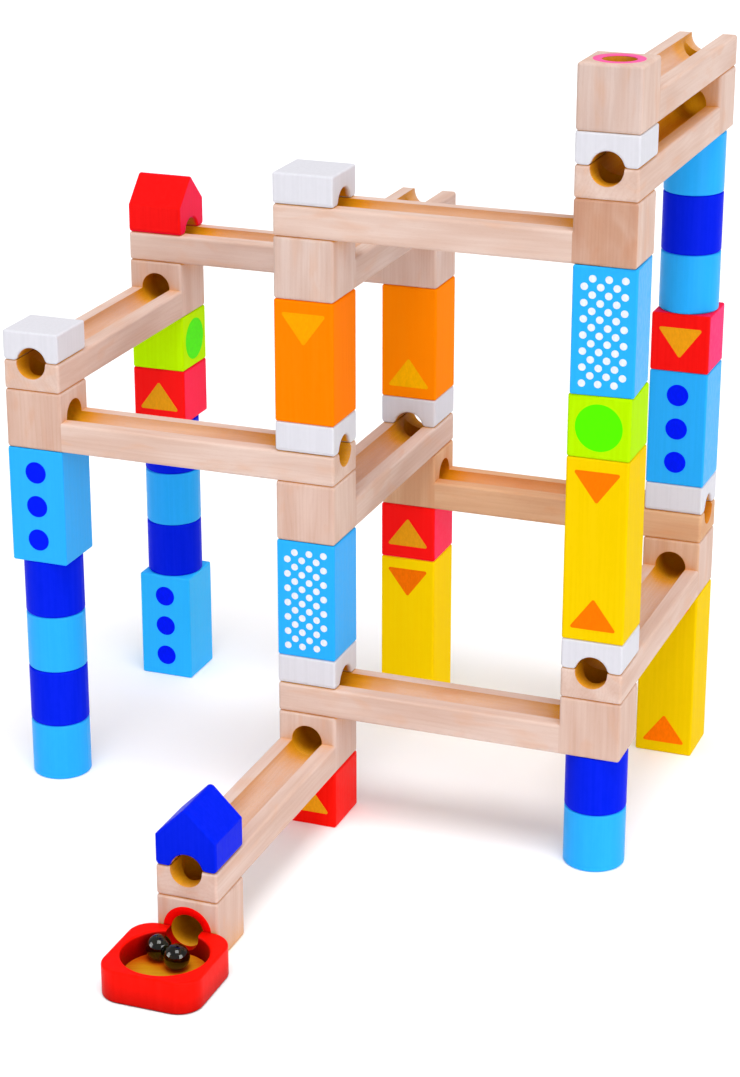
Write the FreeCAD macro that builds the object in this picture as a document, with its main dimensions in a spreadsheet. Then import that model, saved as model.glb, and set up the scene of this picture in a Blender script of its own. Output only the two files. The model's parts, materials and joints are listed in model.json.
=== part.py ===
import FreeCAD, Part
import math
import os
import Sketcher
from FreeCAD import Placement, Rotation, Vector

# A wooden marble run: seven columns of loose blocks carry twelve tracks. Each
# track ends over the next one's start block, down to an exit block and a tray.
#
# +X runs to the right and +Y to the back. The columns stand on a square grid, one
# Spacing apart, and heights are counted in levels of one Unit, half a cube each.
# The origin is on the floor at the centre of the footprint, tray included.

SIZES = [
    ("Unit", 20, "one level: the height of a beam or a cap, half a cube"),
    ("Block", 40, "width of every block, beam, cap and roof, and height of a cube"),
    ("Spacing", 192, "distance between column centres, and length of a beam"),
    ("BoreRadius", 10.5, "drop holes, exits and grooves"),
    ("ExitRise", 21, "bore axis above a start block's base, where it leaves the block"),
    ("GrooveFall", 2.3, "how far a groove's axis falls along its beam"),
    ("ExitHoleRise", 19, "axis of the exit block's front hole above the floor"),
    ("Overrun", 5, "how far a cutting tool runs past the face that it opens"),
    ("WoodRound", 2, "rounding of the bare wooden edges"),
    ("PaintRound", 1.5, "rounding of the painted edges"),
    ("RimRound", 0.6, "easing of the rims of holes"),
    ("LobeRound", 3, "rounding of the edges beside an arch"),
    ("ArchDrop", 1.3, "depth of an arch's axis below the piece that it is cut in"),
    ("RoofHeight", 40, "base to ridge, before the ridge is rounded"),
    ("RidgeRound", 3, "rounding of the ridge"),
    ("TrayWidth", 64, "side of the tray"),
    ("TrayHeight", 21, "height of the tray's rim"),
    ("TrayCorner", 15, "radius of the tray's corners"),
    ("WellRadius", 26.5, "round well in the tray"),
    ("FloorHeight", 6.5, "thickness of the disc that closes the well"),
    ("FloorGap", 0.1, "glue gap around that disc"),
    ("MarbleRadius", 8, "glass marble"),
    ("MarbleGap", 0.2, "air under a marble at rest"),
]

# Column centres, in Spacings: right, back.
COLUMNS = {
    "A": (-1, 0),
    "B": (-1, 1),
    "C": (0, 0),
    "D": (0, -1),
    "E": (0, 1),
    "F": (1, 0),
    "G": (1, 1),
}

# Ways that a piece's own +X can point, in degrees about +Z.
RIGHT, BACK, LEFT, FRONT = 0, 90, 180, 270

# Tracks from the top down: the start block's column, and the way to the end.
TRACKS = [
    ("F", BACK),
    ("G", FRONT),
    ("F", LEFT),
    ("C", BACK),
    ("E", LEFT),
    ("B", FRONT),
    ("A", RIGHT),
    ("C", BACK),
    ("E", RIGHT),
    ("G", FRONT),
    ("F", LEFT),
    ("C", FRONT),
]
TOP_TRACK_LEVEL = 24
LEVELS_PER_TRACK = 2

# Painted blocks: name, column, level, height in Units, turn in degrees.
PAINTED_BLOCKS = [
    ("dot_block_a", "A", 8, 4, 0),
    ("dot_block_b", "B", 0, 4, 0),
    ("red_cube_b", "B", 10, 2, 0),
    ("green_cube_b", "B", 12, 2, 0),
    ("red_cube_c", "C", 0, 2, 0),
    ("speckled_block_c", "C", 6, 4, 0),
    ("orange_block_c", "C", 14, 4, 0),
    ("yellow_block_e", "E", 0, 6, 0),
    ("red_cube_e", "E", 6, 2, 0),
    ("orange_block_e", "E", 12, 4, 0),
    ("yellow_block_f", "F", 8, 6, 0),
    ("green_cube_f", "F", 14, 2, 0),
    ("speckled_block_f", "F", 16, 4, 3),
    ("yellow_block_g", "G", 0, 6, 0),
    ("dot_block_g", "G", 10, 4, 0),
    ("red_cube_g", "G", 14, 2, 0),
]

# Painted cylinders, as wide and as high as a cube: column and level of each one,
# grouped by colour and by the track that lifts them.
CYLINDERS = {
    "light_cylinders": [("A", 0), ("A", 4), ("B", 6), ("F", 0)],
    "dark_cylinders": [("A", 2), ("A", 6), ("B", 4), ("B", 8), ("F", 2)],
    "light_cylinders_g": [("G", 16), ("G", 20)],
    "dark_cylinder_g": [("G", 18)],
}

# White caps over the ends of tracks: name, column, level, way of the tunnel.
CAPS = [
    ("cap_f_top", "F", 23, BACK),
    ("cap_c_top", "C", 21, RIGHT),
    ("cap_a", "A", 15, BACK),
    ("cap_c_mid", "C", 13, RIGHT),
    ("cap_e", "E", 11, BACK),
    ("cap_g", "G", 9, RIGHT),
    ("cap_f_low", "F", 7, BACK),
    ("cap_c_low", "C", 5, RIGHT),
]

# Roofs over the ends of tracks: name, column, level, way of the tunnel.
ROOFS = [
    ("red_roof", "B", 17, RIGHT),
    ("blue_roof", "D", 3, BACK),
]

# Marbles in the tray: name, and the centre's place right of and behind the tray's.
MARBLES = [
    ("marble_1", -10.8, 14.4),
    ("marble_2", 4.0, 7.6),
]

doc = FreeCAD.newDocument("MarbleRun")
sheet = doc.addObject("Spreadsheet::Sheet", "Sizes")
for row, (alias, value, meaning) in enumerate(SIZES, start=1):
    sheet.set(f"A{row}", alias)
    sheet.set(f"B{row}", str(value))
    sheet.setAlias(f"B{row}", alias)
    sheet.set(f"C{row}", meaning)
doc.recompute()


def size(expression):
    """The present value of an expression on the sheet's cells, in mm or degrees."""
    value = sheet.evalExpression(expression)
    return float(getattr(value, "Value", value))


def bind(thing, bindings):
    """Tie properties of an object to expressions on the sheet's cells."""
    for name, expression in bindings.items():
        thing.setExpression(name, str(expression))


def new_body(label, column, level, turn=RIGHT):
    """A body that stands on a column's axis, with its own +X turned about +Z."""
    body = doc.addObject("PartDesign::Body", label)
    body.Label = label
    body.Placement = Placement(Vector(), Rotation(Vector(0, 0, 1), turn))
    right, back = COLUMNS[column]
    bind(body, {
        "Placement.Base.x": f"{right} * Sizes.Spacing",
        "Placement.Base.y": f"{back} * Sizes.Spacing + Sizes.TrayWidth / 2",
        "Placement.Base.z": f"{level} * Sizes.Unit",
    })
    return body


def attach(feature, body, role, offset=None, turn=None):
    """Fix a sketch or a primitive to an origin plane, moved by an offset in expressions."""
    plane = next(item for item in body.Origin.OriginFeatures if item.Role == role)
    feature.AttachmentSupport = (plane, [""])
    feature.MapMode = "FlatFace"
    feature.AttachmentOffset = Placement(Vector(), turn or Rotation())
    for axis, expression in (offset or {}).items():
        feature.setExpression(f"AttachmentOffset.Base.{axis}", expression)


def constrain(sketch, kind, *points, name=None, equals=None):
    """Add a constraint, and tie a dimension to an expression where one is given."""
    if equals is None:
        sketch.addConstraint(Sketcher.Constraint(kind, *points))
        return
    index = sketch.addConstraint(Sketcher.Constraint(kind, *points, size(equals)))
    sketch.renameConstraint(index, name)
    sketch.setExpression(f"Constraints.{name}", equals)


def polygon_sketch(body, role, corners):
    """A sketch of lines through the corners in turn, joined end to start."""
    sketch = body.newObject("Sketcher::SketchObject", "Outline")
    attach(sketch, body, role)
    points = [Vector(right, up, 0) for right, up in corners]
    followers = points[1:] + points[:1]
    for start, end in zip(points, followers):
        sketch.addGeometry(Part.LineSegment(start, end), False)
    for line in range(len(points)):
        constrain(sketch, "Coincident", line, 2, (line + 1) % len(points), 1)
    return sketch


def square_sketch(body, side):
    """A square in plan, centred on the body's axis."""
    half = size(side) / 2
    corners = [(-half, -half), (half, -half), (half, half), (-half, half)]
    sketch = polygon_sketch(body, "XY_Plane", corners)
    for line in (0, 2):
        constrain(sketch, "Horizontal", line)
        constrain(sketch, "Vertical", line + 1)
    constrain(sketch, "Equal", 0, 1)
    constrain(sketch, "Symmetric", 0, 1, 1, 2, -1, 1)
    constrain(sketch, "DistanceX", 0, 1, 0, 2, name="Side", equals=side)
    return sketch


def strip_sketch(body, length, width):
    """A rectangle in plan from the body's axis along its +X, as wide on both sides."""
    end = size(length)
    half = size(width) / 2
    sketch = polygon_sketch(body, "XY_Plane", [(0, -half), (end, -half), (end, half), (0, half)])
    for line in (0, 2):
        constrain(sketch, "Horizontal", line)
    constrain(sketch, "Vertical", 1)
    constrain(sketch, "Symmetric", 0, 1, 2, 2, -1)
    constrain(sketch, "PointOnObject", 0, 1, -2)
    constrain(sketch, "DistanceX", 0, 1, 0, 2, name="Length", equals=length)
    constrain(sketch, "DistanceY", 1, 1, 1, 2, name="Width", equals=width)
    return sketch


def circle_sketch(body, role, radius, offset=None):
    """A circle about the sketch's own origin, which the offset moves."""
    sketch = body.newObject("Sketcher::SketchObject", "Circle")
    attach(sketch, body, role, offset)
    sketch.addGeometry(Part.Circle(Vector(), Vector(0, 0, 1), size(radius)), False)
    constrain(sketch, "Coincident", 0, 3, -1, 1)
    constrain(sketch, "Radius", 0, name="Radius", equals=radius)
    return sketch


def pad(body, sketch, length, symmetric=False):
    """Raise a sketch into a solid."""
    feature = body.newObject("PartDesign::Pad", "Pad")
    feature.Profile = sketch
    feature.SideType = "Symmetric" if symmetric else "One side"
    feature.Refine = True
    feature.setExpression("Length", length)
    doc.recompute()
    return feature


def checked_cut(body, before, feature):
    """Recompute a cut, and stop if it took nothing away."""
    doc.recompute()
    if not feature.Shape.Volume < before - 1:
        raise RuntimeError(f"{feature.Name} cut nothing from {body.Label}")
    return feature


def cut_through(body, sketch, symmetric=False):
    """Cut a sketch's shape out, upwards from its plane or both ways."""
    before = body.Tip.Shape.Volume
    feature = body.newObject("PartDesign::Pocket", "Cut")
    feature.Profile = sketch
    feature.Type = "ThroughAll"
    feature.SideType = "Symmetric" if symmetric else "One side"
    feature.Reversed = True
    return checked_cut(body, before, feature)


def cut_cylinder(body, height, offset, tilt=None):
    """Cut a bore of the standard radius that starts at the offset; `tilt` is from +Z to +X."""
    before = body.Tip.Shape.Volume
    tool = body.newObject("PartDesign::SubtractiveCylinder", "Bore")
    turn = Rotation(Vector(0, 1, 0), size(tilt)) if tilt else None
    attach(tool, body, "XY_Plane", offset, turn)
    bind(tool, {"Radius": "Sizes.BoreRadius", "Height": height})
    if tilt:
        tool.setExpression("AttachmentOffset.Rotation.Angle", tilt)
    return checked_cut(body, before, tool)


def cut_elbow(body, rise):
    """Round out the corner where a drop hole turns into an exit."""
    tool = body.newObject("PartDesign::SubtractiveSphere", "Elbow")
    attach(tool, body, "XY_Plane", {"z": rise})
    tool.setExpression("Radius", "Sizes.BoreRadius")
    doc.recompute()
    return tool


def round_edges(body, radius, wanted):
    """Round the edges of the body's tip that a test picks by their midpoint and direction."""
    base = body.Tip
    names = []
    for number, edge in enumerate(base.Shape.Edges, start=1):
        if edge.Degenerated:
            continue
        halfway = (edge.FirstParameter + edge.LastParameter) / 2
        if wanted(edge.valueAt(halfway), edge.tangentAt(halfway)):
            names.append(f"Edge{number}")
    feature = body.newObject("PartDesign::Fillet", "Round")
    feature.Base = (base, names)
    feature.setExpression("Radius", radius)
    doc.recompute()
    return feature


def near(value, expression):
    """Whether a coordinate lies at the value of an expression."""
    return abs(value - size(expression)) < 0.01


def every_edge(middle, along):
    """Picks all the edges."""
    return True


def painted_block(label, column, level, height, turn):
    """A square block with eased edges."""
    body = new_body(label, column, level, turn)
    pad(body, square_sketch(body, "Sizes.Block"), f"{height} * Sizes.Unit")
    round_edges(body, "Sizes.PaintRound", every_edge)
    return body


def cylinder(label, column, level):
    """A round block with eased edges."""
    body = new_body(label, column, level)
    pad(body, circle_sketch(body, "XY_Plane", "Sizes.Block / 2"), "Sizes.Block")
    round_edges(body, "Sizes.PaintRound", lambda middle, along: abs(along.z) < 0.5)
    return body


def cylinder_group(label, places):
    """Several cylinders of one colour that move together."""
    group = doc.addObject("Part::Compound", label)
    group.Label = label
    group.Links = [cylinder(f"{label}_{column}{level}", column, level) for column, level in places]
    return group


def track_piece(label, column, level, way, is_beam):
    """The start block or the grooved beam of one track, which are glued end to end.

    Both are cut from the same outline, an upright cube with a beam that runs out of its
    foot, so that their outer faces meet flush where they are glued.
    """
    body = new_body(label, column, level, way)
    pad(body, square_sketch(body, "Sizes.Block"), "Sizes.Block")
    reach = "Sizes.Spacing + Sizes.Block / 2"
    pad(body, strip_sketch(body, reach, "Sizes.Block"), "Sizes.Unit")

    def is_outer(middle, along):
        return not (near(middle.x, "Sizes.Block / 2") and near(middle.z, "Sizes.Unit"))

    round_edges(body, "Sizes.WoodRound", is_outer)

    # The drop hole turns into a bore that leaves the block and falls gently along the beam.
    fall = "Sizes.GrooveFall / Sizes.Spacing"
    elbow_rise = f"Sizes.ExitRise + Sizes.Block / 2 * {fall}"
    cut_cylinder(body, "Sizes.Block", {"z": elbow_rise})
    cut_elbow(body, elbow_rise)
    cut_cylinder(body, f"{reach} + Sizes.Overrun", {"z": elbow_rise}, f"90 deg + atan({fall})")
    cut_through(body, circle_sketch(body, "XY_Plane", "Sizes.BoreRadius", {"x": "Sizes.Spacing"}))

    # Keep one side of the glue joint.
    joint = "Sizes.Block / 2"
    sketch = strip_sketch(body, reach, "2 * Sizes.Block")
    attach(sketch, body, "XY_Plane", {"x": f"{joint} - ({reach})" if is_beam else joint})
    cut_through(body, sketch)
    if not is_beam:
        top = "Sizes.Block"
        round_edges(body, "Sizes.RimRound", lambda middle, along: near(middle.z, top) and is_rim(middle))
    return body


def is_rim(middle):
    """Whether an edge's midpoint lies on the drop hole about the body's axis."""
    return near(math.hypot(middle.x, middle.y), "Sizes.BoreRadius")


def exit_block():
    """The cube at the bottom, with a drop hole that leaves through its front face."""
    body = new_body("exit_block", "D", 0, FRONT)
    pad(body, square_sketch(body, "Sizes.Block"), "Sizes.Block")
    round_edges(body, "Sizes.WoodRound", every_edge)
    cut_cylinder(body, "Sizes.Block", {"z": "Sizes.ExitHoleRise"})
    cut_elbow(body, "Sizes.ExitHoleRise")
    cut_cylinder(body, "Sizes.Block", {"z": "Sizes.ExitHoleRise"}, "90 deg")
    top = "Sizes.Block"
    round_edges(body, "Sizes.RimRound", lambda middle, along: near(middle.z, top) and is_rim(middle))
    return body


def cut_arch(body):
    """Cut the tunnel along the body's +X, and round the edges beside it and along the base."""
    arch = circle_sketch(body, "YZ_Plane", "Sizes.BoreRadius", {"y": "-Sizes.ArchDrop"})
    cut_through(body, arch, symmetric=True)

    def is_lobe(middle, along):
        return near(middle.z, "0") and abs(along.x) > 0.99

    round_edges(body, "Sizes.LobeRound", is_lobe)


def cap(label, column, level, way):
    """A white cover with an arched tunnel under it."""
    body = new_body(label, column, level, way)
    pad(body, square_sketch(body, "Sizes.Block"), "Sizes.Unit")
    cut_arch(body)

    def is_outer(middle, along):
        return near(middle.z, "Sizes.Unit") or abs(along.z) > 0.99

    round_edges(body, "Sizes.PaintRound", is_outer)
    return body


def roof(label, column, level, way):
    """A cover like a house, with its ridge over the tunnel and both slopes at 45 degrees."""
    body = new_body(label, column, level, way)
    half = size("Sizes.Block / 2")
    ridge = size("Sizes.RoofHeight")
    eave = ridge - half
    corners = [(-half, 0), (half, 0), (half, eave), (0, ridge), (-half, eave)]
    sketch = polygon_sketch(body, "YZ_Plane", corners)
    constrain(sketch, "Horizontal", 0)
    constrain(sketch, "Symmetric", 0, 1, 0, 2, -1, 1)
    constrain(sketch, "Vertical", 1)
    constrain(sketch, "Vertical", 4)
    constrain(sketch, "Equal", 1, 4)
    constrain(sketch, "PointOnObject", 3, 1, -2)
    constrain(sketch, "Perpendicular", 2, 3)
    constrain(sketch, "DistanceX", 0, 1, 0, 2, name="Width", equals="Sizes.Block")
    constrain(sketch, "DistanceY", -1, 1, 3, 1, name="Ridge", equals="Sizes.RoofHeight")
    pad(body, sketch, "Sizes.Block", symmetric=True)
    cut_arch(body)
    round_edges(body, "Sizes.RidgeRound", lambda middle, along: near(middle.z, "Sizes.RoofHeight"))

    def is_outer(middle, along):
        return abs(along.x) < 0.5 or (middle.z > 1 and abs(middle.y) > half - 0.01)

    round_edges(body, "Sizes.PaintRound", is_outer)
    return body


def in_tray(body, right="0", back="0", up="0"):
    """Move a body to a place given from the middle of the tray's underside."""
    bind(body, {
        "Placement.Base.x": right,
        "Placement.Base.y": f"-Sizes.Spacing - Sizes.Block / 2 + {back}",
        "Placement.Base.z": up,
    })


def tray():
    """A square tray with round corners, a round well, and a notch for the exit hole."""
    body = new_body("tray", "D", 0, BACK)
    in_tray(body)
    pad(body, square_sketch(body, "Sizes.TrayWidth"), "Sizes.TrayHeight")
    round_edges(body, "Sizes.TrayCorner", lambda middle, along: abs(along.z) > 0.99)
    cut_through(body, circle_sketch(body, "XY_Plane", "Sizes.WellRadius"))

    def is_shown(middle, along):
        in_well = near(math.hypot(middle.x, middle.y), "Sizes.WellRadius")
        return abs(along.z) < 0.5 and not (in_well and near(middle.z, "0"))

    round_edges(body, "Sizes.PaintRound", is_shown)
    reach = "Sizes.TrayWidth / 2 + Sizes.Overrun"
    cut_cylinder(body, reach, {"z": "Sizes.ExitHoleRise"}, "90 deg")
    return body


def tray_floor():
    """The bare wooden disc that closes the well."""
    body = new_body("tray_floor", "D", 0)
    in_tray(body)
    disc = circle_sketch(body, "XY_Plane", "Sizes.WellRadius - Sizes.FloorGap")
    pad(body, disc, "Sizes.FloorHeight")
    return body


def marble(label, right, back):
    """A glass ball on the tray's floor."""
    body = new_body(label, "D", 0)
    in_tray(body, str(right), str(back), "Sizes.FloorHeight + Sizes.MarbleGap + Sizes.MarbleRadius")
    ball = body.newObject("PartDesign::AdditiveSphere", "Ball")
    attach(ball, body, "XY_Plane")
    ball.setExpression("Radius", "Sizes.MarbleRadius")
    doc.recompute()
    return body


nodes = [painted_block(*row) for row in PAINTED_BLOCKS]
nodes += [cylinder_group(label, places) for label, places in CYLINDERS.items()]
for number, (column, way) in enumerate(TRACKS, start=1):
    level = TOP_TRACK_LEVEL - LEVELS_PER_TRACK * (number - 1)
    nodes.append(track_piece(f"start_block_{number:02d}", column, level, way, is_beam=False))
    nodes.append(track_piece(f"track_beam_{number:02d}", column, level, way, is_beam=True))
nodes += [cap(*row) for row in CAPS]
nodes += [roof(*row) for row in ROOFS]
nodes += [exit_block(), tray(), tray_floor()]
nodes += [marble(*row) for row in MARBLES]
doc.recompute()

for item in doc.Objects:
    if "Invalid" in item.State or "Error" in item.State:
        raise RuntimeError(f"{item.Name} failed: {item.State}")
    if item.isDerivedFrom("Sketcher::SketchObject") and not item.FullyConstrained:
        raise RuntimeError(f"{item.Name} is not fully constrained")
for node in nodes:
    if node.Shape.isNull() or not node.Shape.isValid() or not node.Shape.Solids:
        raise RuntimeError(f"{node.Label} has no valid solid")

os.makedirs("parts", exist_ok=True)
for node in nodes:
    node.Shape.exportStep(os.path.join("parts", f"{node.Label}.step"))
print(f"{len(nodes)} nodes, {sum(len(node.Shape.Solids) for node in nodes)} solids")
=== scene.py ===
import json
import math
import random

import bmesh
import bpy
from mathutils import Matrix, Vector

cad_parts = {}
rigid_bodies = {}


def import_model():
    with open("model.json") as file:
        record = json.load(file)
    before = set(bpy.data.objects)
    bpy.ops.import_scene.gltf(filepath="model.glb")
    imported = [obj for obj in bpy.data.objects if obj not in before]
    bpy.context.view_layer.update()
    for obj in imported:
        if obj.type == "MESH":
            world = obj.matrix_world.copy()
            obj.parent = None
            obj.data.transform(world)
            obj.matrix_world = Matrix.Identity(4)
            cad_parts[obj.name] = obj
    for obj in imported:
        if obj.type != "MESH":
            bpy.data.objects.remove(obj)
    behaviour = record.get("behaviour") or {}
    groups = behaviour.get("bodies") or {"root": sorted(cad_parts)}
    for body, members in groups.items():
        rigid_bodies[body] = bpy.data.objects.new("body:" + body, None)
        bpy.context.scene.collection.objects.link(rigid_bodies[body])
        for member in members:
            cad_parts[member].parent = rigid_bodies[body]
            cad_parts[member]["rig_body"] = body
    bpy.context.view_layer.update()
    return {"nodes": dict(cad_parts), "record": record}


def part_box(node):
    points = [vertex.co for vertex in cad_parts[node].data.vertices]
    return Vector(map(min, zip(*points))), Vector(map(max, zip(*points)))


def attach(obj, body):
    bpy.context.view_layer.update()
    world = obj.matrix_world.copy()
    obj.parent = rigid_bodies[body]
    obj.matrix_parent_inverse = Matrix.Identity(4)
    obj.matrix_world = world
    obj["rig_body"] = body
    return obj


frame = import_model()

# A wooden marble run: the CAD nodes keep their shapes and get the materials below, and
# the printed figures and rings are thin pieces of their own, laid on the nodes' faces.

MM = 0.001

# Sizes of the printed figures, in millimetres.
INK = 0.06
INK_DEPTH = 0.15
TRIANGLE_WIDTH = 31
TRIANGLE_HEIGHT = 21
TRIANGLE_CORNER = 1.2
TRIANGLE_MARGIN = 8
LARGE_DISC = 7.5
LARGE_DISC_STEP = 23.7
GREEN_DISC = 15
SPECK = 2.3
SPECK_STEP = 10
SPECK_ROWS = 14
SPECKS_IN_ROW = 3
RING_OUTER = 15.75
BORE = 10.5
BORE_RIM = 0.6
SEGMENTS = 72
SPECK_SEGMENTS = 24

# Places in the nodes, in millimetres, that the materials and the rings follow.
EXIT_RISE = 21
EXIT_HOLE_RISE = 19
GROOVE_FALL = 2.3
BEAM_LENGTH = 192
OPEN_GROOVE = 152
TUNNEL_DROP = 1.3

# The turn of the one block that stands askew on its column, in degrees.
ASKEW = {"speckled_block_f": 3}

TRACK_COUNT = 12

# The caps and roofs whose tunnel runs from front to back.
TUNNELS_BACK = ("cap_f_top", "cap_a", "cap_e", "cap_f_low", "blue_roof")

# The camera: what it looks at and how far from it, in metres, its lens in millimetres, and where
# it stands, in degrees. Azimuth 0 is the front, and 90 the right.
TARGET = Vector((0.049, 0, 0.214))
DISTANCE = 1.686
LENS = 89.7
AZIMUTH = 20.84
ELEVATION = 20.69

# The light: the white surroundings, as they light and as they are mirrored, then the name,
# azimuth, elevation and power of each sun lamp and of each soft box.
SURROUNDINGS = 0.63
MIRRORED = 0.35
LIGHT_SPREAD = 30
LIGHTS = (
    ("overhead", 25, 72, 1.9),
    ("front_fill", 21, 24, 0.15),
    ("right_fill", 59, 18, 0.65),
)
BOXES = (
    ("left_box", -53, 14, 10),
    ("right_box", 59, 14, 11),
    ("top_box", 25, 66, 10),
)
BOX_AIM = Vector((0, 0, 0.2))
BOX_DISTANCE = 1.5
BOX_SIZE = 0.8

# The floor reaches this far from the run on every side, in metres.
FLOOR_REACH = 6


def srgb(red, green, blue):
    """A colour given by display values, as linear light with full alpha. White is 255."""

    def linear(value):
        value /= 255
        return value / 12.92 if value <= 0.04045 else ((value + 0.055) / 1.055) ** 2.4

    return linear(red), linear(green), linear(blue), 1.0


BEECH_PALE = srgb(219, 194, 182)
BEECH_MID = srgb(206, 173, 157)
BEECH_WARM = srgb(214, 171, 146)
BEECH_DARK = srgb(188, 143, 121)
BEECH_IOR = 1.14
# What beech is multiplied by, from out in the open to deep in a hole: painted shade, warmer in a groove
# and golden to brown in gaps and holes.
OPEN_TINT = srgb(255, 255, 255)
GROOVE_SHADE_TINT = srgb(255, 240, 230)
AMBER_SHADE_TINT = srgb(268, 220, 106)
GOLD_SHADE_TINT = srgb(280, 226, 30)
BROWN_SHADE_TINT = srgb(240, 192, 18)
# Painted shade: how much less open than it is the wood counts as, in a hole and in the open part of a
# groove.
HOLE_SHADE_SHARE = 0.24
GROOVE_SHADE_SHARE = 0.05
# The one track whose groove another track covers, so that its groove gets as much painted shade as a
# hole.
COVERED_TRACK = 2
# Painted shade on beech, as tints: the fronts of some start blocks a little darker, some warmer and
# some cooler, and one whole track darker and warmer.
FRONT_SHADE_TINTS = {
    1: srgb(243, 246, 250),
    3: srgb(226, 197, 176),
    4: srgb(246, 248, 251),
    7: srgb(242, 230, 223),
    8: srgb(248, 241, 238),
    10: srgb(255, 232, 200),
    11: srgb(249, 244, 241),
}
TRACK_SHADE_TINTS = {9: srgb(254, 229, 192)}

# Painted shade and painted bounce light in the tray: what the red of the tray and the wood of its floor
# are multiplied by where they are least open, dark red on the wall and orange on the floor.
WELL_SHADE = srgb(96, 10, 10)
WELL_BOUNCE_LIGHT = srgb(240, 110, 60)

PAINTS = {
    "white": srgb(211, 210, 217),
    "red": srgb(244, 16, 4),
    "orange": srgb(253, 124, 0),
    "yellow": srgb(233, 195, 0),
    "lime": srgb(176, 229, 0),
    "light_blue": srgb(34, 168, 248),
    "dark_blue": srgb(0, 30, 222),
}
PAINT_IORS = {
    "white": 1.2,
    "red": 1.1,
    "orange": 1.03,
    "yellow": 1.03,
    "lime": 1.03,
    "light_blue": 1.18,
    "dark_blue": 1.07,
}
PAINT_SPREAD = 0.02
PAINT_ROUGHNESS = (0.3, 0.42)
WHITE_ROUGHNESS = (0.45, 0.6)
# Painted light: the blocks at the back whose paint is made lighter than the rest, to stand for more
# light on them, and by how much.
PAINTED_LIGHT_GAINS = {
    "yellow_block_e": 1.24,
    "orange_block_e": 1.2,
    "dot_block_b": 1.2,
    "red_cube_b": 1.2,
    "red_cube_e": 1.12,
    "green_cube_b": 1.2,
}
# The red pieces that look pink where the light grazes them.
PINK_SHEEN = {"Sheen_Weight": 0.8, "Sheen_Roughness": 0.4, "Sheen_Tint": srgb(255, 30, 180)}
PINK_IN_THE_LIGHT = ("red_cube_b", "red_cube_e", "red_cube_g", "red_roof")

INKS = {
    "amber": srgb(240, 160, 22),
    "amber_on_orange": srgb(255, 158, 0),
    # Painted light: a brighter amber for the triangle on the orange block at the back.
    "amber_brightened": srgb(255, 182, 0),
    "orange": srgb(255, 118, 0),
    "blue": srgb(0, 25, 255),
    "green": srgb(85, 255, 0),
    "white": srgb(226, 232, 240),
    "pink": srgb(255, 100, 165),
    "red": srgb(245, 8, 5),
}


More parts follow.
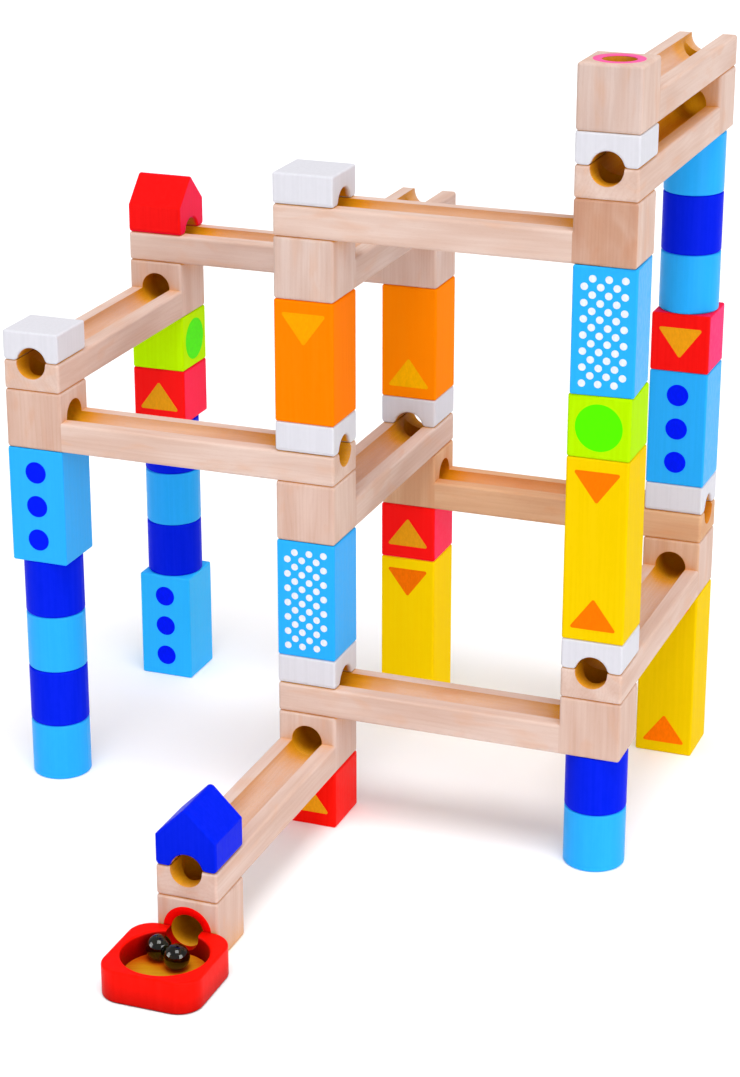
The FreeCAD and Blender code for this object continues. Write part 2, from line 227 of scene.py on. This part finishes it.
class Surface:
    """A material built from short calls. Its places are millimetres in the piece's own axes."""

    def __init__(self, name, origin=(0, 0, 0), turn=0.0, **constants):
        self.material = bpy.data.materials.new(name)
        self.material.use_nodes = True
        self.nodes = self.material.node_tree.nodes
        self.links = self.material.node_tree.links
        self.shader = self.nodes["Principled BSDF"]
        for socket, value in constants.items():
            self.shader.inputs[socket.replace("_", " ")].default_value = value
        mapping = self.add("ShaderNodeMapping", vector_type="TEXTURE")
        mapping.inputs["Location"].default_value = origin
        mapping.inputs["Rotation"].default_value = (0, 0, turn)
        mapping.inputs["Scale"].default_value = (MM, MM, MM)
        self.feed(mapping.inputs["Vector"], self.add("ShaderNodeTexCoord").outputs["Object"])
        self.place = mapping.outputs["Vector"]
        self.x, self.y, self.z = self.split(self.place)

    def add(self, kind, **settings):
        node = self.nodes.new(kind)
        for name, value in settings.items():
            setattr(node, name, value)
        return node

    def feed(self, socket, value):
        if isinstance(value, bpy.types.NodeSocket):
            self.links.new(value, socket)
        else:
            socket.default_value = value

    def math(self, operation, *values, clamp=False):
        node = self.add("ShaderNodeMath", operation=operation, use_clamp=clamp)
        for socket, value in zip(node.inputs, values):
            self.feed(socket, value)
        return node.outputs[0]

    def vector(self, operation, *values):
        node = self.add("ShaderNodeVectorMath", operation=operation)
        for socket, value in zip(node.inputs, values):
            self.feed(socket, value)
        return node.outputs[0]

    def split(self, vector):
        node = self.add("ShaderNodeSeparateXYZ")
        self.feed(node.inputs[0], vector)
        return node.outputs[0], node.outputs[1], node.outputs[2]

    def join(self, x, y, z):
        node = self.add("ShaderNodeCombineXYZ")
        for socket, value in zip(node.inputs, (x, y, z)):
            self.feed(socket, value)
        return node.outputs[0]

    def noise(self, vector, stretch, detail=2.0, roughness=0.5, distortion=0.0):
        """Noise from 0 to 1, with its own count of features per millimetre along each axis."""
        node = self.add("ShaderNodeTexNoise")
        self.feed(node.inputs["Vector"], self.vector("MULTIPLY", vector, stretch))
        self.feed(node.inputs["Scale"], 1.0)
        self.feed(node.inputs["Detail"], detail)
        self.feed(node.inputs["Roughness"], roughness)
        self.feed(node.inputs["Distortion"], distortion)
        return node.outputs["Fac"]

    def smooth(self, value, low, high, start=0.0, end=1.0):
        """A soft step: start below low, end above high."""
        node = self.add("ShaderNodeMapRange", interpolation_type="SMOOTHSTEP")
        for socket, given in zip(node.inputs, (value, low, high, start, end)):
            self.feed(socket, given)
        return node.outputs[0]

    def mix(self, share, first, second, mode="MIX"):
        node = self.add("ShaderNodeMix", data_type="RGBA", blend_type=mode)
        self.feed(node.inputs[0], share)
        self.feed(node.inputs[6], first)
        self.feed(node.inputs[7], second)
        return node.outputs[2]

    def ramp(self, value, stops):
        """Colours at places from 0 to 1."""
        node = self.add("ShaderNodeValToRGB")
        elements = node.color_ramp.elements
        while len(elements) < len(stops):
            elements.new(1.0)
        for element, (place, colour) in zip(elements, stops):
            element.position = place
            element.color = colour
        self.feed(node.inputs[0], value)
        return node.outputs[0]

    def openness(self, reach, inside=False):
        """How much of a reach in millimetres around the surface is open: outside or in the solid."""
        node = self.add("ShaderNodeAmbientOcclusion", samples=6, inside=inside, only_local=inside)
        self.feed(node.inputs["Distance"], reach * MM)
        return node.outputs["AO"]

    def relief(self, height, depth):
        """Bump of a depth in millimetres."""
        node = self.add("ShaderNodeBump")
        self.feed(node.inputs["Strength"], 1.0)
        self.feed(node.inputs["Distance"], depth * MM)
        self.feed(node.inputs["Height"], height)
        self.feed(self.shader.inputs["Normal"], node.outputs[0])


def length_of(surface, x, y):
    """The length of a vector with these two parts."""
    squares = surface.math("ADD", surface.math("MULTIPLY", x, x), surface.math("MULTIPLY", y, y))
    return surface.math("SQRT", squares)


def moved_by(surface, fibre, draw):
    """The same fibre, looked at somewhere else in an endless trunk."""
    return surface.vector("ADD", fibre, tuple(draw.uniform(-400, 400) for _ in range(3)))


def year_rings(surface, fibre, moved, draw):
    """Soft rings about a pith outside the piece, from 0 to 1."""
    bearing = draw.uniform(0, 2 * math.pi)
    away = draw.uniform(45, 95)
    across, through, _ = surface.split(fibre)
    radius = length_of(
        surface,
        surface.math("ADD", across, away * math.cos(bearing)),
        surface.math("ADD", through, away * math.sin(bearing)),
    )
    warp = surface.noise(moved, (0.06, 0.06, 0.008), detail=2)
    radius = surface.math("MULTIPLY_ADD", warp, 14.0, radius)
    wave = surface.math("SINE", surface.math("MULTIPLY", radius, 2 * math.pi / draw.uniform(2.2, 3.4)))
    return surface.smooth(wave, -0.2, 1.0)


def bare_wood(surface, fibre, seed, pale=BEECH_PALE, mid=BEECH_MID, warm=BEECH_WARM, dark=BEECH_DARK):
    """The colour, the relief and the streaks of bare fine-sanded wood."""
    draw = random.Random(seed)
    moved = moved_by(surface, fibre, draw)
    rings = year_rings(surface, fibre, moved, draw)
    streaks = surface.noise(moved, (0.75, 0.75, 0.016), detail=3, roughness=0.6)
    flecks = surface.smooth(surface.noise(moved, (2.4, 2.4, 0.3), detail=1), 0.6, 0.72)
    broad = surface.noise(moved, (0.07, 0.07, 0.012), detail=1)
    blotch = surface.noise(moved, (0.09, 0.09, 0.03), detail=2, distortion=0.4)
    lines = surface.smooth(streaks, 0.34, 0.68)
    tone = surface.math("MULTIPLY_ADD", lines, 0.24, surface.smooth(broad, 0.3, 0.7, 0.0, 0.76))
    colour = surface.mix(tone, pale, mid)
    colour = surface.mix(surface.smooth(blotch, 0.52, 0.72, 0.0, 0.5), colour, warm)
    colour = surface.mix(surface.math("MULTIPLY", rings, 0.09), colour, dark)
    colour = surface.mix(surface.math("MULTIPLY", flecks, 0.14), colour, dark)
    relief = surface.math("SUBTRACT", lines, surface.math("MULTIPLY", flecks, 0.8))
    return colour, relief, streaks


def within_bores(surface, *radii):
    """1 on the walls of bores, given the distances from their axes, and 0 on the outer faces."""
    nearest = radii[0]
    for radius in radii[1:]:
        nearest = surface.math("MINIMUM", nearest, radius)
    return surface.smooth(nearest, BORE + 0.2, BORE + 0.5, 1.0, 0.0)


def tint_by_shade(surface, colour, hollow_shade, reach=40):
    """Painted shade: bare wood is tinted warmer in a groove, and golden to brown in a gap and in a
    bore, the less open it is.
    """
    depth = surface.math("SUBTRACT", surface.openness(reach), hollow_shade)
    tint = surface.ramp(depth, [
        (0.0, BROWN_SHADE_TINT),
        (0.2, GOLD_SHADE_TINT),
        (0.4, AMBER_SHADE_TINT),
        (0.54, GROOVE_SHADE_TINT),
        (0.74, OPEN_TINT),
    ])
    return surface.mix(1.0, colour, tint, mode="MULTIPLY")


def beech_block(name, origin, turn, rise, tint, front_shade_tint):
    """Bare beech with its fibre upright. A bore leaves it this high, towards the piece's own +X."""
    surface = Surface(name, origin, turn, IOR=BEECH_IOR)
    drop = length_of(surface, surface.x, surface.y)
    leaving = length_of(surface, surface.y, surface.math("SUBTRACT", surface.z, rise))
    # The walls of the bores get painted shade.
    hollow_shade = surface.math("MULTIPLY", within_bores(surface, drop, leaving), HOLE_SHADE_SHARE)
    # The front face gets its tint of painted shade, in patches.
    forward = surface.math("MULTIPLY", surface.x, -math.sin(turn))
    forward = surface.math("MULTIPLY_ADD", surface.y, -math.cos(turn), forward)
    patches = surface.noise(surface.place, (0.06, 0.06, 0.03), detail=2, distortion=0.5)
    patches = surface.smooth(patches, 0.3, 0.7, 0.7, 1.0)
    front = surface.math("MULTIPLY", surface.smooth(forward, 18.6, 19.6), patches)
    return finish_beech(surface, surface.place, hollow_shade, surface.mix(front, tint, front_shade_tint))


def beech_beam(name, origin, turn, tint, golden):
    """Bare beech with its fibre along the beam, whose groove falls towards the drop hole at its end.

    The open middle of the groove gets as much painted shade as given, and its closed ends as much as a
    hole.
    """
    surface = Surface(name, origin, turn, IOR=BEECH_IOR)
    drop = length_of(surface, surface.math("SUBTRACT", surface.x, BEAM_LENGTH), surface.y)
    axis = surface.math("MULTIPLY_ADD", surface.x, -GROOVE_FALL / BEAM_LENGTH, EXIT_RISE)
    groove = length_of(surface, surface.y, surface.math("SUBTRACT", surface.z, axis))
    off_middle = surface.math("ABSOLUTE", surface.math("SUBTRACT", surface.x, BEAM_LENGTH / 2))
    # Painted shade along the groove, more towards its closed ends.
    closed = surface.smooth(off_middle, OPEN_GROOVE / 2 - 18, OPEN_GROOVE / 2, golden, HOLE_SHADE_SHARE)
    hollow_shade = surface.math("MULTIPLY", within_bores(surface, drop, groove), closed)
    return finish_beech(surface, surface.join(surface.y, surface.z, surface.x), hollow_shade, tint)


def finish_beech(surface, fibre, hollow_shade, tint):
    """Join the wood, its tint of painted shade and the painted shade of its bores into the finished
    material.
    """
    colour, relief, streaks = bare_wood(surface, fibre, surface.material.name)
    colour = surface.mix(1.0, colour, tint, mode="MULTIPLY")
    surface.feed(surface.shader.inputs["Base Color"], tint_by_shade(surface, colour, hollow_shade))
    surface.feed(surface.shader.inputs["Roughness"], surface.smooth(streaks, 0.2, 0.8, 0.5, 0.68))
    surface.relief(relief, 0.03)
    return surface.material


def painted(name, paint, light_gain, origin, turn, tunnel, well, pink):
    """Satin paint on wood: the fibre shows faintly, edges are worn, and a tunnel stays bare. Some paint
    is made lighter as painted light, and the tray's well and the bare tunnel get painted shade.
    """
    sheen = PINK_SHEEN if pink else {}
    roughness = WHITE_ROUGHNESS if paint == "white" else PAINT_ROUGHNESS
    surface = Surface(name, origin, turn, IOR=PAINT_IORS[paint], **sheen)
    # Painted light: the paint of some blocks is made lighter.
    paint = [part * light_gain for part in PAINTS[paint][:3]]
    moved = moved_by(surface, surface.place, random.Random(name))
    streaks = surface.noise(moved, (0.5, 0.5, 0.012), detail=2)
    lines = surface.smooth(streaks, 0.3, 0.7)
    light = tuple(min(1.0, part * (1 + PAINT_SPREAD) + 0.002) for part in paint) + (1.0,)
    deep = tuple(min(1.0, part * (1 - PAINT_SPREAD)) for part in paint) + (1.0,)
    mottle = surface.noise(surface.place, (0.35, 0.35, 0.2), detail=3)
    tone = surface.math("MULTIPLY_ADD", lines, 0.4, surface.math("MULTIPLY", mottle, 0.6))
    colour = surface.mix(surface.smooth(tone, 0.2, 0.8), deep, light)
    edge = surface.smooth(surface.openness(1.4, inside=True), 0.35, 0.75, 1.0, 0.0)
    worn = surface.math("MULTIPLY", edge, surface.smooth(mottle, 0.35, 0.7, 0.1, 0.4))
    colour = surface.mix(worn, colour, light)
    # Painted shade: the red of the tray darkens deep in its well.
    if well:
        shade = surface.ramp(surface.openness(30), [(0.25, WELL_SHADE), (0.8, OPEN_TINT)])
        colour = surface.mix(1.0, colour, shade, mode="MULTIPLY")
    pores = surface.noise(surface.place, (1.6, 1.6, 1.1), detail=2)
    relief = surface.math("MULTIPLY_ADD", pores, 0.5, lines)
    rough = surface.smooth(mottle, 0.3, 0.7, *roughness)
    if tunnel:
        radius = length_of(surface, surface.y, surface.math("ADD", surface.z, TUNNEL_DROP))
        inside = within_bores(surface, radius)
        ragged = surface.math("MULTIPLY_ADD", mottle, 2.0, surface.math("ABSOLUTE", surface.x))
        deep_in = surface.smooth(ragged, 17.5, 20.5, 1.0, 0.0)
        bare = surface.math("MULTIPLY", inside, deep_in)
        wood, _, _ = bare_wood(surface, surface.place, name)
        # Painted shade on the bare wood in the tunnel.
        wood = tint_by_shade(surface, wood, surface.math("MULTIPLY", bare, HOLE_SHADE_SHARE))
        colour = surface.mix(bare, colour, wood)
    surface.feed(surface.shader.inputs["Base Color"], colour)
    surface.feed(surface.shader.inputs["Roughness"], rough)
    surface.relief(relief, 0.012)
    return surface.material


def ink(name, colour):
    """Screen-printed ink: nearly even, with a faint grain and small thin spots."""
    surface = Surface(name, IOR=1.08)
    mottle = surface.noise(surface.place, (0.9, 0.9, 0.4), detail=3)
    deep = tuple(part * 0.9 for part in colour[:3]) + (1.0,)
    colour = surface.mix(surface.smooth(mottle, 0.3, 0.75), deep, colour)
    surface.feed(surface.shader.inputs["Base Color"], colour)
    surface.feed(surface.shader.inputs["Roughness"], surface.smooth(mottle, 0.3, 0.7, 0.32, 0.45))
    surface.relief(surface.noise(surface.place, (2.0, 2.0, 0.5), detail=2), 0.02)
    return surface.material


def marble_glass(name):
    """Nearly black olive glass with a faint cloud in it."""
    surface = Surface(name, IOR=1.58, Transmission_Weight=0.9)
    cloud = surface.noise(surface.place, (0.16, 0.16, 0.16), detail=3, distortion=1.2)
    colour = surface.mix(surface.smooth(cloud, 0.42, 0.75), srgb(16, 15, 9), srgb(96, 92, 20))
    surface.feed(surface.shader.inputs["Base Color"], colour)
    smudges = surface.noise(surface.place, (0.5, 0.5, 0.5), detail=4)
    surface.feed(surface.shader.inputs["Roughness"], surface.smooth(smudges, 0.45, 0.75, 0.015, 0.07))
    return surface.material


def tray_floor_wood(name, origin):
    """The wood disc in the tray, in golden colours that are painted shade."""
    surface = Surface(name, origin, 0.4, IOR=1.3)
    fibre = surface.join(surface.y, surface.z, surface.x)
    # Golden to brown colours as painted shade on the beech of the disc.
    shaded_tones = srgb(222, 172, 22), srgb(206, 146, 14), srgb(206, 120, 16), srgb(150, 92, 8)
    colour, relief, streaks = bare_wood(surface, fibre, name, *shaded_tones)
    # Painted bounce light from the red wall: the floor turns orange near it.
    wall_bounce = surface.ramp(surface.openness(14), [(0.35, WELL_BOUNCE_LIGHT), (0.8, OPEN_TINT)])
    surface.feed(surface.shader.inputs["Base Color"], surface.mix(1.0, colour, wall_bounce, mode="MULTIPLY"))
    surface.feed(surface.shader.inputs["Roughness"], surface.smooth(streaks, 0.2, 0.8, 0.35, 0.5))
    surface.relief(relief, 0.05)
    return surface.material


def clothe(node, material):
    """Give a CAD node its material."""
    for slot in frame["nodes"][node].material_slots:
        slot.material = material


def axis_foot(node):
    """The point on the floor of a node's box, at its middle."""
    low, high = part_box(node)
    return Vector(((low.x + high.x) / 2, (low.y + high.y) / 2, low.z))


def clothe_tracks():
    """Give the start blocks, the beams and the exit block their beech."""
    for number in range(1, TRACK_COUNT + 1):
        block, beam = f"start_block_{number:02d}", f"track_beam_{number:02d}"
        origin = axis_foot(block)
        way = axis_foot(beam) - origin
        turn = math.atan2(way.y, way.x)
        tint = TRACK_SHADE_TINTS.get(number, OPEN_TINT)
        front_shade_tint = FRONT_SHADE_TINTS.get(number, tint)
        # The covered track's groove gets the painted shade of a hole.
        golden = HOLE_SHADE_SHARE if number == COVERED_TRACK else GROOVE_SHADE_SHARE
        look = beech_block(f"beech_block_{number:02d}", origin, turn, EXIT_RISE, tint, front_shade_tint)
        clothe(block, look)
        clothe(beam, beech_beam(f"beech_beam_{number:02d}", origin, turn, tint, golden))
    foot = axis_foot("exit_block")
    look = beech_block("beech_exit_block", foot, -math.pi / 2, EXIT_HOLE_RISE, OPEN_TINT, OPEN_TINT)
    clothe("exit_block", look)


def clothe_painted():
    """Give every painted node its paint, and bare wood in the tunnels of caps and roofs."""
    slots = {
        "red_paint": "red", "orange_paint": "orange", "yellow_paint": "yellow", "lime_paint": "lime",
        "light_blue_paint": "light_blue", "dark_blue_paint": "dark_blue", "white_paint": "white",
    }
    for part in frame["record"]["subparts"]:
        node, slot = part["node"], part["material_slot"]
        if slot not in slots:
            continue
        tunnel = node.startswith("cap_") or node.endswith("_roof")
        turn = math.pi / 2 if node in TUNNELS_BACK else math.radians(ASKEW.get(node, 0))
        well = node == "tray"
        pink = node in PINK_IN_THE_LIGHT
        paint, light_gain = slots[slot], PAINTED_LIGHT_GAINS.get(node, 1.0)
        origin = axis_foot(node)
        clothe(node, painted(f"{node}_paint", paint, light_gain, origin, turn, tunnel, well, pink))


def rounded(corners, radius):
    """The outline of a polygon, in turn to the left, whose corners are arcs of this radius."""
    outline = []
    for before, corner, after in zip(corners[-1:] + corners[:-1], corners, corners[1:] + corners[:1]):
        corner = Vector(corner)
        back = (Vector(before) - corner).normalized()
        on = (Vector(after) - corner).normalized()
        half = back.angle(on) / 2
        centre = corner + (back + on).normalized() * radius / math.sin(half)
        first = corner + back * radius / math.tan(half) - centre
        steps = 8
        for step in range(steps + 1):
            turn = (math.pi - 2 * half) * step / steps
            outline.append(centre + Matrix.Rotation(turn, 2) @ first)
    return outline


def triangle(up, middle=(0, 0)):
    """The printed triangle, its apex up or down, its corners rounded."""
    half, rise = TRIANGLE_WIDTH / 2, TRIANGLE_HEIGHT / 2
    corners = [(-half, -rise), (half, -rise), (0, rise)]
    outline = rounded(corners, TRIANGLE_CORNER)
    sign = 1 if up else -1
    return [Vector((point.x * sign + middle[0], point.y * sign + middle[1])) for point in outline]


def disc(radius, middle=(0, 0), segments=SEGMENTS):
    """The outline of a round dot."""
    turns = [2 * math.pi * step / segments for step in range(segments)]
    return [Vector((middle[0] + radius * math.cos(t), middle[1] + radius * math.sin(t))) for t in turns]


def place_on_face(node, facing):
    """A matrix from a face's own millimetres, right, up and out, to the row frame."""
    low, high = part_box(node)
    middle = (low + high) / 2
    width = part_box("red_cube_c")[1].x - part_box("red_cube_c")[0].x
    turn = math.radians(facing + ASKEW.get(node, 0))
    out = Vector((math.sin(turn), -math.cos(turn), 0))
    right = Vector((math.cos(turn), math.sin(turn), 0))
    rotation = Matrix((right, Vector((0, 0, 1)), out)).transposed().to_4x4()
    return Matrix.Translation(middle + out * width / 2) @ rotation @ Matrix.Scale(MM, 4)


def finish_piece(name, mesh, material, node):
    """Link a finished mesh as a piece that moves with the body of a node."""
    piece = bpy.data.objects.new(name, mesh)
    bpy.context.scene.collection.objects.link(piece)
    piece.data.materials.append(material)
    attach(piece, frame["nodes"][node]["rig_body"])
    return piece


def printed(name, node, outlines, material, facing=0):
    """Thin figures of ink on a face: closed prisms that stand a little proud of it."""
    work = bmesh.new()
    rim = INK * 0.6
    for outline in outlines:
        rings = []
        for inset, out in ((0, -INK_DEPTH), (0, INK - rim), (rim, INK)):
            middle = sum(outline, Vector((0, 0))) / len(outline)
            ring = []
            for point in outline:
                inward = (middle - point).normalized() * inset
                ring.append(work.verts.new((point.x + inward.x, point.y + inward.y, out)))
            rings.append(ring)
        work.faces.new(list(reversed(rings[0])))
        work.faces.new(rings[-1])
        for lower, upper in zip(rings, rings[1:]):
            for a, b, c, d in zip(lower, lower[1:] + lower[:1], upper[1:] + upper[:1], upper):
                work.faces.new((a, b, c, d))
    work.transform(place_on_face(node, facing))
    mesh = bpy.data.meshes.new(name)
    work.to_mesh(mesh)
    work.free()
    return finish_piece(name, mesh, material, node)


def turned_ring(name, node, profile, place, material):
    """A ring of ink: a closed profile of radius and height, in millimetres, turned about an axis."""
    work = bmesh.new()
    rows = []
    for step in range(SEGMENTS):
        turn = 2 * math.pi * step / SEGMENTS
        rows.append([work.verts.new((r * math.cos(turn), r * math.sin(turn), z)) for r, z in profile])
    for row, following in zip(rows, rows[1:] + rows[:1]):
        for a, b, c, d in zip(row, row[1:] + row[:1], following[1:] + following[:1], following):
            work.faces.new((a, d, c, b))
    bmesh.ops.recalc_face_normals(work, faces=work.faces)
    work.transform(place)
    mesh = bpy.data.meshes.new(name)
    work.to_mesh(mesh)
    work.free()
    for face in mesh.polygons:
        face.use_smooth = True
    return finish_piece(name, mesh, material, node)


def print_figures():
    """Print the triangles, the round dots and the speckles."""
    amber = ink("ink_amber", INKS["amber"])
    light_amber = ink("ink_light_amber", INKS["amber_on_orange"])
    brightened_amber = ink("ink_pale_amber", INKS["amber_brightened"])
    orange = ink("ink_orange", INKS["orange"])
    blue = ink("ink_blue", INKS["blue"])
    green = ink("ink_green", INKS["green"])
    white = ink("ink_white", INKS["white"])

    def end_place(node, top):
        low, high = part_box(node)
        reach = (high.z - low.z) / MM / 2 - TRIANGLE_MARGIN - TRIANGLE_HEIGHT / 2
        return 0, reach if top else -reach

    for node in ("red_cube_b", "red_cube_c", "red_cube_e", "red_cube_g"):
        up = node != "red_cube_g"
        printed(f"{node}_triangle", node, [triangle(up)], amber)
    printed("orange_block_c_triangle", "orange_block_c",
            [triangle(False, end_place("orange_block_c", top=True))], light_amber)
    # Painted light: the triangle at the back is printed in a brighter amber.
    printed("orange_block_e_triangle", "orange_block_e",
            [triangle(True, end_place("orange_block_e", top=False))], brightened_amber)
    for node in ("yellow_block_e", "yellow_block_f", "yellow_block_g"):
        both = [triangle(False, end_place(node, top=True)), triangle(True, end_place(node, top=False))]
        printed(f"{node}_triangles", node, both, orange)
    for node in ("dot_block_a", "dot_block_b", "dot_block_g"):
        row = [disc(LARGE_DISC, (0, step * LARGE_DISC_STEP)) for step in (-1, 0, 1)]
        printed(f"{node}_discs", node, row, blue)
    printed("green_cube_f_disc", "green_cube_f", [disc(GREEN_DISC)], green)
    printed("green_cube_b_disc", "green_cube_b", [disc(GREEN_DISC)], green, facing=90)
    for node in ("speckled_block_c", "speckled_block_f"):
        specks = []
        for row in range(SPECK_ROWS):
            shift = SPECK_STEP / 4 * (1 if row % 2 else -1)
            up = (row - (SPECK_ROWS - 1) / 2) * SPECK_STEP / 2
            for column in range(SPECKS_IN_ROW):
                right = (column - (SPECKS_IN_ROW - 1) / 2) * SPECK_STEP + shift
                specks.append(disc(SPECK, (right, up), segments=SPECK_SEGMENTS))
        printed(f"{node}_specks", node, specks, white)


def print_rings():
    """The pink ring follows the eased rim of the top hole, and the red one lies round the exit hole."""
    steps = 6
    arc = []
    for step in range(steps + 1):
        turn = math.pi / 2 * step / steps
        reach = BORE_RIM + INK
        arc.append((BORE + BORE_RIM - reach * math.sin(turn), -BORE_RIM + reach * math.cos(turn)))
    back = [(BORE + INK_DEPTH, -BORE_RIM), (BORE + BORE_RIM, -INK_DEPTH), (RING_OUTER, -INK_DEPTH)]
    outer = [(RING_OUTER, 0), (RING_OUTER - INK, INK)]
    low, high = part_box("start_block_01")
    top = Vector(((low.x + high.x) / 2, (low.y + high.y) / 2, high.z))
    place = Matrix.Translation(top) @ Matrix.Scale(MM, 4)
    pink = ink("ink_pink", INKS["pink"])
    turned_ring("start_ring", "start_block_01", outer + arc + back, place, pink)
    low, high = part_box("exit_block")
    hole = Vector(((low.x + high.x) / 2, low.y, EXIT_HOLE_RISE * MM))
    place = Matrix.Translation(hole) @ Matrix.Rotation(math.pi / 2, 4, "X") @ Matrix.Scale(MM, 4)
    inner = [(BORE + INK, INK), (BORE, 0), (BORE, -INK_DEPTH), (RING_OUTER, -INK_DEPTH)]
    red = ink("ink_red", INKS["red"])
    turned_ring("exit_ring", "exit_block", outer + inner, place, red)


def make_floor():
    """A wide pale floor, faintly lit from below like a light table."""
    work = bmesh.new()
    bmesh.ops.create_grid(work, x_segments=8, y_segments=8, size=FLOOR_REACH)
    mesh = bpy.data.meshes.new("floor")
    work.to_mesh(mesh)
    work.free()
    floor = bpy.data.objects.new("floor", mesh)
    bpy.context.scene.collection.objects.link(floor)
    finish = {"IOR": 1.4, "Specular_IOR_Level": 0.1, "Roughness": 0.9, "Emission_Strength": 0.1}
    surface = Surface("floor_paper", **finish)
    fine = surface.noise(surface.place, (0.02, 0.02, 0.02), detail=2)
    colour = surface.mix(fine, srgb(244, 244, 245), srgb(247, 247, 248))
    surface.feed(surface.shader.inputs["Base Color"], colour)
    surface.feed(surface.shader.inputs["Emission Color"], colour)
    mesh.materials.append(surface.material)


def make_light():
    """White surroundings, broad even lights, and soft boxes that only show as sheen."""
    world = bpy.data.worlds.new("surroundings")
    world.use_nodes = True
    bpy.context.scene.world = world
    nodes, links = world.node_tree.nodes, world.node_tree.links
    background = nodes["Background"]
    background.inputs["Color"].default_value = (1, 1, 1, 1)
    shown = nodes.new("ShaderNodeBackground")
    shown.inputs["Color"].default_value = (1, 1, 1, 1)
    shown.inputs["Strength"].default_value = 1.0
    path = nodes.new("ShaderNodeLightPath")
    choice = nodes.new("ShaderNodeMixShader")
    strength = nodes.new("ShaderNodeMapRange")
    strength.inputs["To Min"].default_value = SURROUNDINGS
    strength.inputs["To Max"].default_value = MIRRORED
    links.new(path.outputs["Is Glossy Ray"], strength.inputs["Value"])
    links.new(strength.outputs[0], background.inputs["Strength"])
    links.new(path.outputs["Is Camera Ray"], choice.inputs[0])
    links.new(background.outputs[0], choice.inputs[1])
    links.new(shown.outputs[0], choice.inputs[2])
    links.new(choice.outputs[0], nodes["World Output"].inputs[0])

    for name, azimuth, elevation, energy in LIGHTS:
        light = bpy.data.lights.new(name, "SUN")
        light.energy = energy
        light.angle = math.radians(LIGHT_SPREAD)
        lamp = hang(name, light, towards(azimuth, elevation))
        lamp.visible_glossy = False
    for name, azimuth, elevation, energy in BOXES:
        light = bpy.data.lights.new(name, "AREA")
        light.size = BOX_SIZE
        light.energy = energy
        lamp = hang(name, light, towards(azimuth, elevation) * BOX_DISTANCE + BOX_AIM)
        lamp.visible_diffuse = False


def towards(azimuth, elevation):
    """A unit vector from the run: azimuth 0 is the front, and 90 the right."""
    azimuth, elevation = math.radians(azimuth), math.radians(elevation)
    level = math.cos(elevation)
    return Vector((math.sin(azimuth) * level, -math.cos(azimuth) * level, math.sin(elevation)))


def hang(name, light, place):
    """Put a light at a place and aim it at the middle of the run."""
    lamp = bpy.data.objects.new(name, light)
    lamp.location = place
    aim = BOX_AIM if light.type == "AREA" else Vector((0, 0, 0))
    lamp.rotation_euler = (aim - place).to_track_quat("-Z", "Y").to_euler()
    lamp.visible_camera = False
    bpy.context.scene.collection.objects.link(lamp)
    return lamp


def make_camera():
    """A long lens from the front right, a little above the run."""
    back = towards(AZIMUTH, ELEVATION)
    data = bpy.data.cameras.new("camera")
    data.lens = LENS
    data.sensor_width = 36
    camera = bpy.data.objects.new("camera", data)
    camera.location = TARGET + back * DISTANCE
    camera.rotation_euler = (-back).to_track_quat("-Z", "Y").to_euler()
    bpy.context.scene.collection.objects.link(camera)
    bpy.context.scene.camera = camera


make_camera()
make_floor()
make_light()
clothe_tracks()
clothe_painted()
clothe("tray_floor", tray_floor_wood("tray_floor_wood_disc", axis_foot("tray_floor")))
for marble in ("marble_1", "marble_2"):
    clothe(marble, marble_glass(f"{marble}_glass"))
print_figures()
print_rings()

bpy.context.scene.view_settings.view_transform = "Standard"
